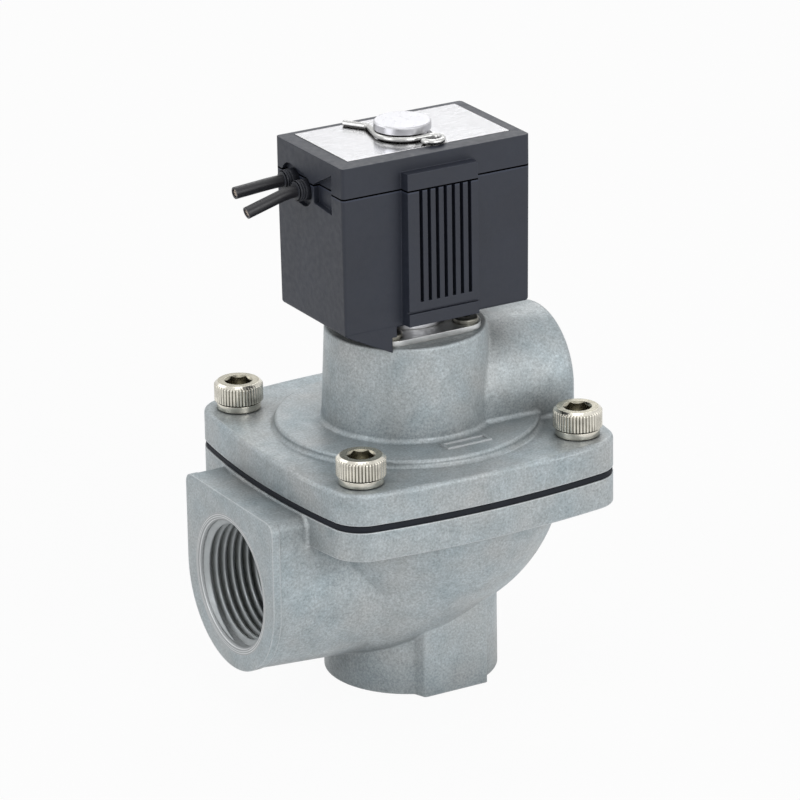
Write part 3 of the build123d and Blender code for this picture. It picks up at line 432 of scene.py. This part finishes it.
rubberSkin = {
    "dark": (0.005, 0.007, 0.011), "pale": (0.011, 0.014, 0.021), "roughness": 0.75, "gloss": 0.3,
    "blotchScale": 240, "grainScale": 1800, "grainDepth": 0.02, "edgeRadius": 0.12,
}


def makeRubber():
    material, tree, shader = newMaterial("diaphragmRubber", rubberSkin["dark"], 0.0, rubberSkin["roughness"])
    shader.inputs["Specular IOR Level"].default_value = rubberSkin["gloss"]
    blotches = noiseOn(tree, rubberSkin["blotchScale"], 4)
    shade = rampOn(tree, blotches, (0.3, rubberSkin["dark"]), (0.7, rubberSkin["pale"]))
    feed(tree, shader.inputs["Base Color"], shade)
    grain = noiseOn(tree, rubberSkin["grainScale"], 3)
    softEdges(tree, shader, rubberSkin["edgeRadius"] * mm, grain, rubberSkin["grainDepth"] * mm)
    return material


windingWire = {
    "gap": (0.30, 0.11, 0.05), "wire": (0.66, 0.30, 0.14), "metallic": 0.9, "roughness": 0.32,
    "scale": 620, "distortion": 0.2, "depth": 0.1,
}


def makeWinding():
    # enamelled copper wire laid in fine turns round the coil's axis
    material, tree, shader = newMaterial("windingCopper", windingWire["wire"], windingWire["metallic"],
                                         windingWire["roughness"])
    sockets = {"Vector": objectPlace(tree), "Scale": windingWire["scale"],
               "Distortion": windingWire["distortion"]}
    turns = addNode(tree, "TexWave", sockets, bands_direction="Z").outputs["Fac"]
    bump = addNode(tree, "Bump", {"Strength": 0.8, "Distance": windingWire["depth"] * mm, "Height": turns})
    feed(tree, shader.inputs["Normal"], bump.outputs["Normal"])
    shade = rampOn(tree, turns, (0.0, windingWire["gap"]), (0.6, windingWire["wire"]))
    feed(tree, shader.inputs["Base Color"], shade)
    return material


castAluminium = makeCasting()
metal = {name: makeMetal(name, **look) for name, look in metals.items()}
plastic = {name: makePlastic(name, **look) for name, look in plastics.items()}
diaphragmRubber = makeRubber()

slotMaterials = {
    "cast_aluminium": castAluminium, "nickel_plated": metal["nickelPlate"],
    "black_plastic": plastic["coilPlastic"], "black_rubber": diaphragmRubber,
    "lead_sheath": plastic["leadSheath"], "plated_steel": metal["zincPlate"],
    "stainless": metal["turnedSteel"], "spring_steel": metal["springWire"],
    "dark_screw": metal["blackenedSteel"], "copper": metal["copperRing"],
}
for part in frame["record"]["subparts"]:
    node = frame["nodes"][part["node"]]
    node.data.materials.clear()
    node.data.materials.append(slotMaterials[part["material_slot"]])
frame["nodes"]["coil_winding"].data.materials[0] = makeWinding()
frame["nodes"]["retainer_plate"].data.materials[0] = metal["dullSteel"]
print("materials set on", len(frame["nodes"]), "nodes")

# the camera stands where the photograph was taken from: degrees, metres, and mm for the lens and sensor
view = {
    "azimuth": -29.957, "elevation": 20.463, "roll": -0.936, "distance": 1.08516,
    "aimRight": -1.4305 * mm, "aimUp": 4.1240 * mm, "aimHeight": 53.2 * mm,
    "lens": 238.79, "sensor": 36, "farClip": 20,
}


def placeCamera():
    azimuth, elevation, roll = (math.radians(view[turn]) for turn in ("azimuth", "elevation", "roll"))
    level = math.cos(elevation)
    back = Vector((math.sin(azimuth) * level, -math.cos(azimuth) * level, math.sin(elevation)))
    right = Vector((math.cos(azimuth), math.sin(azimuth), 0))
    up = back.cross(right)
    turnedRight = right * math.cos(roll) + up * math.sin(roll)
    turnedUp = up * math.cos(roll) - right * math.sin(roll)
    place = back * view["distance"] + turnedRight * view["aimRight"] + turnedUp * view["aimUp"]
    place.z += view["aimHeight"]
    bpy.ops.object.camera_add(location=place)
    camera = bpy.context.object
    turn = Matrix((turnedRight, turnedUp, back)).transposed().to_4x4()
    camera.matrix_world = Matrix.Translation(place) @ turn
    camera.data.lens = view["lens"]
    camera.data.sensor_width = view["sensor"]
    camera.data.clip_end = view["farClip"]
    camera.data.dof.use_dof = False
    bpy.context.scene.camera = camera


startPiece()
placeCamera()
print("camera placed")

# start is where the ridge begins, from the port's mouth along X or Z
threads = {
    "inletThread": {"port": "inlet", "alongX": True, "root": 13.22, "crest": 12.06, "pitch": 1.814,
                    "start": 1.3, "length": 16.0, "fadeSteps": 10},
    "outletThread": {"port": "outlet", "alongX": False, "root": 13.22, "crest": 12.06, "pitch": 1.814,
                     "start": 1.3, "length": 11.2, "fadeSteps": 10},
    "exhaustThread": {"port": "exhaust", "alongX": True, "root": 4.86, "crest": 4.28, "pitch": 0.907,
                      "start": -9.2, "length": 8.2, "fadeSteps": 0},
}
ridgeShape = {"intoWall": 0.12, "footShare": 0.98, "crestShare": 0.24, "crestRound": 0.14, "stepsPerTurn": 72,
              "fadeGrowth": 1.1, "fadeBand": 0.6, "smooth": 50}


def makeThread(name, thread):
    # a flat quad shaped to one ridge, then swept round and along the bore
    turns = thread["length"] / thread["pitch"]
    pitch = thread["pitch"] * mm
    height = (thread["root"] - thread["crest"] + ridgeShape["intoWall"]) * mm
    halfWay = thread["crest"] * mm + height / 2
    steps = ridgeShape["stepsPerTurn"]
    startPiece()
    bpy.ops.mesh.primitive_plane_add(size=1)
    ridge = bpy.context.object
    bpy.ops.object.mode_set(mode="EDIT")
    bpy.ops.mesh.select_all(action="SELECT")
    scaleAbout((0, 0, 0), (height, pitch * ridgeShape["footShare"], 1))
    bpy.ops.transform.rotate(value=math.pi / 2, orient_axis="X", center_override=(0, 0, 0))
    bpy.ops.transform.translate(value=(halfWay, 0, 0))
    pickPoints(ridge, lambda co: co.x < halfWay)
    scaleAbout((0, 0, 0), (1, 1, ridgeShape["crestShare"]))
    bpy.ops.mesh.bevel(affect="VERTICES", offset=ridgeShape["crestRound"] * height, segments=2)
    bpy.ops.mesh.select_all(action="SELECT")
    bpy.ops.mesh.delete(type="ONLY_FACE")
    bpy.ops.object.mode_set(mode="OBJECT")
    sweep = ridge.modifiers.new("turns", "SCREW")
    sweep.axis = "Z"
    sweep.angle = turns * 2 * math.pi
    sweep.screw_offset = thread["length"] * mm
    sweep.iterations = 1
    sweep.steps = sweep.render_steps = int(turns * steps)
    sweep.use_merge_vertices = False
    applyAll(ridge)
    bpy.ops.object.mode_set(mode="EDIT")
    bpy.ops.mesh.select_mode(type="EDGE")
    bpy.ops.mesh.select_all(action="DESELECT")
    bpy.ops.mesh.select_non_manifold()
    bpy.ops.mesh.edge_face_add()
    # the ridge fades in at the mouth, step by step round its first stretch
    for step in range(thread["fadeSteps"]):
        def onStep(co):
            turn = (math.atan2(co.y, co.x) / (2 * math.pi)) % 1
            rise = abs(co.z - step / steps * pitch)
            return round(turn * steps) % steps == step and rise < pitch * ridgeShape["fadeBand"]
        pickPoints(ridge, onStep)
        growth = ridgeShape["fadeGrowth"] * (thread["root"] - thread["crest"]) / thread["crest"]
        size = 1 + (1 - step / thread["fadeSteps"]) * growth
        scaleAbout((0, 0, 0), (size, size, 1))
    bpy.ops.object.mode_set(mode="OBJECT")
    ridge.location = Vector(ports[thread["port"]]) * mm
    if thread["alongX"]:
        ridge.rotation_euler = (0, math.pi / 2, 0)
        ridge.location.x += thread["start"] * mm
    else:
        ridge.location.z += thread["start"] * mm
    finishPiece(ridge, name, metal["machinedAluminium"], "housing",
                ridgeShape["smooth"])


for name, thread in threads.items():
    makeThread(name, thread)
print("port threads cut")

# knurled socket head screw: seat is the height of its seat over the cover's underside
coverScrew = {
    "seat": 6.6, "knurls": 46, "knurlCorners": 4, "knurlDepth": 0.27,
    "rim": 0.75, "kneeRise": 0.45, "kneeShare": 0.965, "kneeRadius": 0.955,
    "grooveDepth": 0.72, "grooveHeight": 0.42,
    "bandHeight": 1.5, "bandStep": 0.40, "bandChamfer": 0.2, "footShare": 0.955, "footRadius": 0.95,
    "shank": 2.95, "shankEnd": 0.7, "shankEndShare": 0.76,
    "key": 5.0, "keyDepth": 3.2, "sinkIn": 0.35, "sinkOut": 0.45, "sinkDepth": 0.8,
    "drillTip": 0.1, "drillShare": 0.92, "drillDepth": 1.2, "drillDrop": 0.4, "roundSides": 48,
    "topSkin": 0.05, "socketMargin": 0.5, "socketBelow": 2.0, "smooth": 28,
}


def makeCoverScrew():
    low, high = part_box("cover_screw_1")
    middle = middleOf("cover_screw_1")
    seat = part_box("cover")[0].z + coverScrew["seat"] * mm
    headRadius = (high.x - low.x) / 2
    knurlBottom = seat + (coverScrew["bandHeight"] + coverScrew["grooveHeight"]) * mm
    knurlTop = high.z - coverScrew["rim"] * mm
    corners = coverScrew["knurls"] * coverScrew["knurlCorners"]
    axis = (middle.x, middle.y, 0)
    startPiece()
    bpy.ops.mesh.primitive_cylinder_add(vertices=corners, radius=headRadius, depth=knurlTop - knurlBottom,
                                        location=(middle.x, middle.y, (knurlTop + knurlBottom) / 2))
    head = bpy.context.object
    bpy.ops.object.transform_apply(location=True)

    def onFlute(co):
        turn = math.atan2(co.y - middle.y, co.x - middle.x) / (2 * math.pi) * corners
        return round(turn) % coverScrew["knurlCorners"] == 0

    def addStep(rise, share):
        extrudeBy((0, 0, rise))
        scaleAbout(axis, (share, share, 1))

    pickPoints(head, onFlute)
    flute = (headRadius - coverScrew["knurlDepth"] * mm) / headRadius
    scaleAbout(axis, (flute, flute, 1))

    # bright turned rim on top
    rim = coverScrew["rim"] * mm
    pickFaces(head, lambda centre, normal: normal.z > facing)
    addStep(rim * coverScrew["kneeRise"], coverScrew["kneeShare"])
    bpy.ops.transform.tosphere(value=1)
    addStep(rim * (1 - coverScrew["kneeRise"]), (headRadius - rim) / (headRadius * coverScrew["kneeRadius"]))

    # groove and plain band below the knurls
    halfGroove = coverScrew["grooveHeight"] / 2 * mm
    chamfer = coverScrew["bandChamfer"] * mm
    grooveShare = 1 - coverScrew["grooveDepth"] * mm / headRadius
    pickFaces(head, lambda centre, normal: normal.z < -facing)
    addStep(-halfGroove, grooveShare)
    bpy.ops.transform.tosphere(value=1)
    addStep(-halfGroove, (headRadius - coverScrew["bandStep"] * mm) / (headRadius * grooveShare))
    extrudeBy((0, 0, chamfer - coverScrew["bandHeight"] * mm))
    addStep(-chamfer, coverScrew["footShare"])

    # shank down to its tapered end
    shankEnd = coverScrew["shankEnd"] * mm
    addStep(0, coverScrew["shank"] * mm / (headRadius * coverScrew["footShare"] * coverScrew["footRadius"]))
    extrudeBy((0, 0, low.z + shankEnd - seat))
    addStep(-shankEnd, coverScrew["shankEndShare"])

    def cutOut(name):
        # takes the newest piece out of the head
        cutter = bpy.context.object
        cut = head.modifiers.new(name, "BOOLEAN")
        cut.operation = "DIFFERENCE"
        cut.solver = "EXACT"
        cut.object = cutter
        applyAll(head)
        bpy.data.objects.remove(cutter)
        startPiece()

    # hexagon socket with a small countersink and a drilled cone at its bottom
    keyRadius = coverScrew["key"] * mm / math.cos(math.pi / 6) / 2
    keyDepth = coverScrew["keyDepth"] * mm
    startPiece()
    bpy.ops.mesh.primitive_cylinder_add(vertices=6, radius=keyRadius, depth=2 * keyDepth,
                                        location=(middle.x, middle.y, high.z))
    cutOut("hexagon")
    bpy.ops.mesh.primitive_cone_add(vertices=coverScrew["roundSides"],
                                    radius1=keyRadius - coverScrew["sinkIn"] * mm,
                                    radius2=keyRadius + coverScrew["sinkOut"] * mm,
                                    depth=coverScrew["sinkDepth"] * mm, location=(middle.x, middle.y, high.z))
    cutOut("countersink")
    drillPlace = high.z - keyDepth - coverScrew["drillDrop"] * mm
    bpy.ops.mesh.primitive_cone_add(vertices=coverScrew["roundSides"], radius1=coverScrew["drillTip"] * mm,
                                    radius2=coverScrew["key"] / 2 * coverScrew["drillShare"] * mm,
                                    depth=coverScrew["drillDepth"] * mm,
                                    location=(middle.x, middle.y, drillPlace))
    cutOut("drill")
    finishPiece(head, "coverScrew1", metal["nickelPlate"], "housing", coverScrew["smooth"])

    # painted shade and reflection: the flat top and the socket get a darker copy of the screw's steel, shade
    # in the socket and a dark reflection on the top
    head.data.materials.append(metal["shadedScrewSteel"])
    topLevel = high.z - coverScrew["topSkin"] * mm
    socketBottom = high.z - keyDepth - coverScrew["socketBelow"] * mm
    socketEdge = keyRadius + coverScrew["socketMargin"] * mm
    for face in head.data.polygons:
        x, y, z = face.center
        onTop = face.normal.z > facing and z > topLevel
        inSocket = math.hypot(x - middle.x, y - middle.y) < socketEdge and socketBottom < z < topLevel
        if onTop or inSocket:
            face.material_index = 1
    return head


firstScrew = makeCoverScrew()
for number in (2, 3, 4):
    shift = middleOf("cover_screw_" + str(number)) - middleOf("cover_screw_1")
    twin = copyPiece(firstScrew, "coverScrew" + str(number), shift)
    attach(twin, "housing")
for number in (1, 2, 3, 4):
    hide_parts("cover_screw_" + str(number))
print("cover screws made")

# screwPlace and screwClear keep the holes for the cover screws out of the rim's outline
diaphragm = {"thickness": 1.5, "upperEdge": 0.55, "lowerEdge": 0.2, "rimFrom": 28.0, "screwPlace": 25.3,
             "screwClear": 4.0, "flat": 1, "smooth": 30}


def makeDiaphragm():
    # the real rubber shows as a rounded strip, set back under the cover
    rubber = copyNode("main_diaphragm")
    low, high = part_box("main_diaphragm")
    thickness = diaphragm["thickness"] * mm
    mergeCorners(rubber, sameLevel)
    bpy.ops.mesh.dissolve_limited(angle_limit=math.radians(diaphragm["flat"]))

    def rimAt(level):
        def test(one, two):
            far = math.hypot(one.x, one.y) > diaphragm["rimFrom"] * mm
            hole = diaphragm["screwPlace"] * mm
            plain = math.hypot(abs(one.x) - hole, abs(one.y) - hole) > diaphragm["screwClear"] * mm
            return far and plain and max(abs(one.z - level), abs(two.z - level)) < sameLevel
        return test

    pickEdges(rubber, rimAt(high.z))
    bpy.ops.mesh.bevel(offset=diaphragm["upperEdge"] * mm, segments=3, affect="EDGES")
    pickEdges(rubber, rimAt(high.z - thickness))
    bpy.ops.mesh.bevel(offset=diaphragm["lowerEdge"] * mm, segments=2, affect="EDGES")
    bpy.ops.object.mode_set(mode="OBJECT")
    finishPiece(rubber, "diaphragm", diaphragmRubber, None, diaphragm["smooth"])
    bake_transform(rubber)
    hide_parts("main_diaphragm")


makeDiaphragm()
print("diaphragm made")

# each spring is a copy of its node that rides the housing in its shape at rest; joint and travel name its
# joint and that joint's travel
springs = {
    "mainSpring": {"node": "main_spring", "joint": "main_lift", "travel": 5.0},
    "plungerSpring": {"node": "plunger_spring", "joint": "plunger_lift", "travel": 1.8},
}


def makeSpring(name, spring):
    wire = finishPiece(copyNode(spring["node"]), name, metal["springWire"], "housing")
    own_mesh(wire)
    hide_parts(spring["node"])


for name, spring in springs.items():
    makeSpring(name, spring)
print("springs made")

# wall is the X of the coil's end, drops and reaches are one for each lead
lead = {
    "radius": 1.25, "drops": (0.7, 2.6), "reaches": (12.6, 13.0), "wall": -21.66, "straight": 3.6,
    "inside": 2.6, "skin": 0.38, "cutDepth": 0.45, "capDepth": 0.6,
    "strand": 0.27, "strandLength": 0.7, "strandDepth": 0.5, "strandRing": 0.56, "strandRound": 0.07,
    "strandSides": 10,
}


def makeLead(number, place):
    y, level = place.y, place.z
    drop = lead["drops"][number - 1] * mm
    bend = (lead["wall"] - lead["straight"]) * mm
    tip = (lead["wall"] - lead["reaches"][number - 1]) * mm
    start = (lead["wall"] + lead["inside"]) * mm
    end = level - drop
    route = [(start, level), ((start + bend) / 2, level), (bend, level),
             ((bend + tip) / 2, (level + end) / 2), (tip, end)]
    startPiece()
    bpy.ops.curve.primitive_nurbs_path_add()
    wire = bpy.context.object
    line = wire.data.splines[0]
    for point, (x, z) in zip(line.points, route):
        point.co = (x, y, z, 1)
    line.order_u = 3
    line.use_endpoint_u = True
    line.resolution_u = 10
    wire.data.bevel_depth = lead["radius"] * mm
    wire.data.bevel_resolution = 8
    wire.data.use_fill_caps = True
    onlySelect(wire)
    bpy.ops.object.convert(target="MESH")
    wire = bpy.context.object
    mergeCorners(wire, mergeWithin)
    bpy.ops.object.mode_set(mode="OBJECT")
    # the bare cut: a sheath with the strands just inside it
    pickFaces(wire, lambda centre, normal: centre.x < tip + lead["capDepth"] * mm and normal.x < -0.8)
    bpy.ops.mesh.inset(thickness=lead["skin"] * mm)
    slope = Vector((bend - tip, 0, drop)).normalized()
    extrudeBy(slope * lead["cutDepth"] * mm)
    bpy.ops.object.mode_set(mode="OBJECT")
    finishPiece(wire, "leadWire" + str(number), plastic["leadSheath"], "housing")
    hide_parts("lead_wire_" + str(number))
    makeStrands(number, Vector((tip, y, end)) + slope * lead["strandDepth"] * mm, slope)


def makeStrands(number, centre, slope):
    # one strand in the middle and six copies round it, joined to one piece
    startPiece()
    bpy.ops.mesh.primitive_cylinder_add(vertices=lead["strandSides"], radius=lead["strand"] * mm,
                                        depth=lead["strandLength"] * mm, location=centre)
    strand = bpy.context.object
    strand.rotation_euler = slope.to_track_quat("Z", "Y").to_euler()
    bpy.ops.object.transform_apply(location=True, rotation=True)
    pickFaces(strand, lambda middle, normal: abs(normal.dot(slope)) > facing)
    bpy.ops.mesh.bevel(offset=lead["strandRound"] * mm, segments=2)
    bpy.ops.object.mode_set(mode="OBJECT")
    side = Vector((0, 1, 0))
    across = slope.cross(side)
    for count in range(6):
        turn = count * math.pi / 3
        shift = (side * math.cos(turn) + across * math.sin(turn)) * lead["strandRing"] * mm
        copyPiece(strand, "strand" + str(count), shift).select_set(True)
    bpy.ops.object.join()
    finishPiece(strand, "leadCore" + str(number), metal["tinnedCopper"], "housing")


grommet = {
    "radius": 2.15, "sides": 64, "standOut": 1.9, "inside": 2.6,
    "lipRound": 0.4, "lip": 0.12, "hollow": 0.5, "hollowShare": 0.9,
    "rings": ((0.75, 0.95), (1.35, 1.55)), "ringInset": 0.02, "ringShare": 0.93,
}


def makeGrommet(place):
    # a ribbed rubber collar with a hollow for the lead
    outer = (lead["wall"] - grommet["standOut"]) * mm
    inner = (lead["wall"] + grommet["inside"]) * mm
    axis = (0, place.y, place.z)
    startPiece()
    bpy.ops.mesh.primitive_cylinder_add(vertices=grommet["sides"], radius=grommet["radius"] * mm,
                                        depth=inner - outer,
                                        location=((inner + outer) / 2, place.y, place.z),
                                        rotation=(0, math.pi / 2, 0))
    collar = bpy.context.object
    bpy.ops.object.transform_apply(location=True, rotation=True)
    pickFaces(collar, lambda centre, normal: normal.x < -facing)
    bpy.ops.mesh.bevel(offset=grommet["lipRound"] * mm, segments=4)
    bpy.ops.mesh.inset(thickness=grommet["lip"] * mm)
    extrudeBy((grommet["hollow"] * mm, 0, 0))
    scaleAbout(axis, (1, grommet["hollowShare"], grommet["hollowShare"]))
    rings = [(outer + near * mm, outer + far * mm) for near, far in grommet["rings"]]
    for cut in (level for ring in rings for level in ring):
        bpy.ops.mesh.select_all(action="SELECT")
        bpy.ops.mesh.bisect(plane_co=(cut, 0, 0), plane_no=(1, 0, 0))

    def inRing(centre, normal):
        return abs(normal.x) < 0.5 and any(near < centre.x < far for near, far in rings)

    pickFaces(collar, inRing)
    bpy.ops.mesh.inset(thickness=grommet["ringInset"] * mm)
    scaleAbout(axis, (1, grommet["ringShare"], grommet["ringShare"]))
    bpy.ops.object.mode_set(mode="OBJECT")
    return finishPiece(collar, "leadGrommet1", plastic["grommetRubber"], "housing")


firstPlace = middleOf("lead_grommet_1")
secondPlace = middleOf("lead_grommet_2")
makeLead(1, firstPlace)
firstGrommet = makeGrommet(firstPlace)
makeLead(2, secondPlace)
twin = copyPiece(firstGrommet, "leadGrommet2", secondPlace - firstPlace)
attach(twin, "housing")
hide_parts("lead_grommet_1")
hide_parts("lead_grommet_2")
print("leads and grommets made")

# lamp places in metres, all square and turned to the target
studio = {
    "floorSize": 8, "floorGap": 0.02, "paper": (0.92, 0.92, 0.92), "floorGlow": 0.94, "skyLight": 0.18,
    "lampSize": 0.7, "target": (0.0, 0.0, 0.05),
    "lamps": {
        "top": {"place": (0.0, 0.0, 1.3), "watts": 2.2},
        "front": {"place": (0.05, -1.25, 0.5), "watts": 5.2},
        "frontRight": {"place": (0.75, -1.0, 0.5), "watts": 2.2},
        "left": {"place": (-1.2, -0.1, 0.5), "watts": 3.2},
        "backRight": {"place": (0.8, 0.9, 1.0), "watts": 4.0},
        "backLeft": {"place": (-0.6, 0.9, 1.0), "watts": 1.8},
    },
}


def seenRays(tree):
    # 1 where the background is looked at, straight or in a reflection
    seen = addNode(tree, "LightPath", {}).outputs
    shiny = mathOn(tree, "MAXIMUM", seen["Is Camera Ray"], seen["Is Glossy Ray"])
    return mathOn(tree, "MAXIMUM", shiny, seen["Is Transmission Ray"])


def makeFloor():
    # plain paper for light and shadow, nearly white where it is seen
    material = bpy.data.materials.new("paleFloor")
    material.use_nodes = True
    tree = material.node_tree
    tree.nodes.clear()
    paper = addNode(tree, "BsdfDiffuse", {"Color": studio["paper"]})
    glow = addNode(tree, "Emission", {"Color": white, "Strength": 1.0})
    share = mathOn(tree, "MULTIPLY", seenRays(tree), studio["floorGlow"])
    mix = addNode(tree, "MixShader", {"Fac": share, 1: paper.outputs["BSDF"], 2: glow.outputs["Emission"]})
    addNode(tree, "OutputMaterial", {"Surface": mix.outputs["Shader"]})
    return material


def makeStudio():
    startPiece()
    bpy.ops.mesh.primitive_plane_add(size=studio["floorSize"],
                                     location=(0, 0, cadBox[0][2] - studio["floorGap"] * mm))
    floor = bpy.context.object
    floor.name = "floor"
    floor.data.materials.append(makeFloor())
    for name, lamp in studio["lamps"].items():
        bpy.ops.object.light_add(type="AREA", location=lamp["place"])
        light = bpy.context.object
        light.name = name + "Light"
        light.data.size = studio["lampSize"]
        light.data.energy = lamp["watts"]
        aim = Vector(studio["target"]) - Vector(lamp["place"])
        light.rotation_euler = aim.to_track_quat("-Z", "Y").to_euler()
    world = bpy.data.worlds.new("studioWorld")
    bpy.context.scene.world = world
    world.use_nodes = True
    tree = world.node_tree
    sky = tree.nodes["Background"]
    feed(tree, sky.inputs["Color"], white)
    feed(tree, sky.inputs["Strength"], studio["skyLight"])
    backdrop = addNode(tree, "Background", {"Color": white, "Strength": 1.0})
    sockets = {"Fac": seenRays(tree), 1: sky.outputs["Background"], 2: backdrop.outputs["Background"]}
    mix = addNode(tree, "MixShader", sockets)
    feed(tree, tree.nodes["World Output"].inputs["Surface"], mix.outputs["Shader"])
    bpy.context.scene.view_settings.view_transform = "Standard"


makeStudio()
print("studio set")
